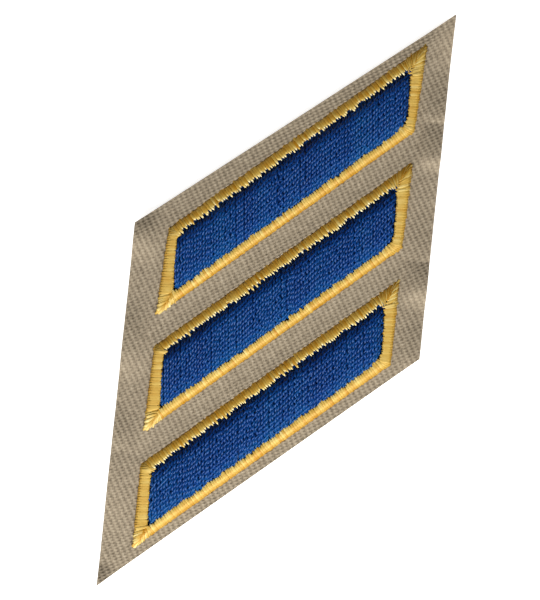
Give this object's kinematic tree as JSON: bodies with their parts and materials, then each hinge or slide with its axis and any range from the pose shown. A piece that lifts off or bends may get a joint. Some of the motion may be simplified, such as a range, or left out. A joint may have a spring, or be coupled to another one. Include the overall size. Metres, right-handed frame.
{
  "type": "service stripe sleeve patch",
  "caption": "Slanted twill cloth patch with raised diagonal blue bars, each a domed field of fill stitching inside a gold satin border.",
  "frame": {"origin": "middle of the patch's box, at the height of its flat back", "axes": "+Y along the cloth's side edges towards the pointed upper corner, +Z out of the embroidered face, +X to the right seen from the face"},
  "size_m": [0.0416, 0.0846, 0.0028],
  "materials": {
    "tan_twill": "matte diagonal twill",
    "blue_thread": "soft sheen rayon fill stitching",
    "gold_thread": "silky rayon satin stitching"
  },
  "bodies": {
    "root": {"ground_cloth": "tan_twill", "upper_fill": "blue_thread", "middle_fill": "blue_thread", "lower_fill": "blue_thread", "upper_border": "gold_thread", "middle_border": "gold_thread", "lower_border": "gold_thread"}
  },
  "joints": []
}
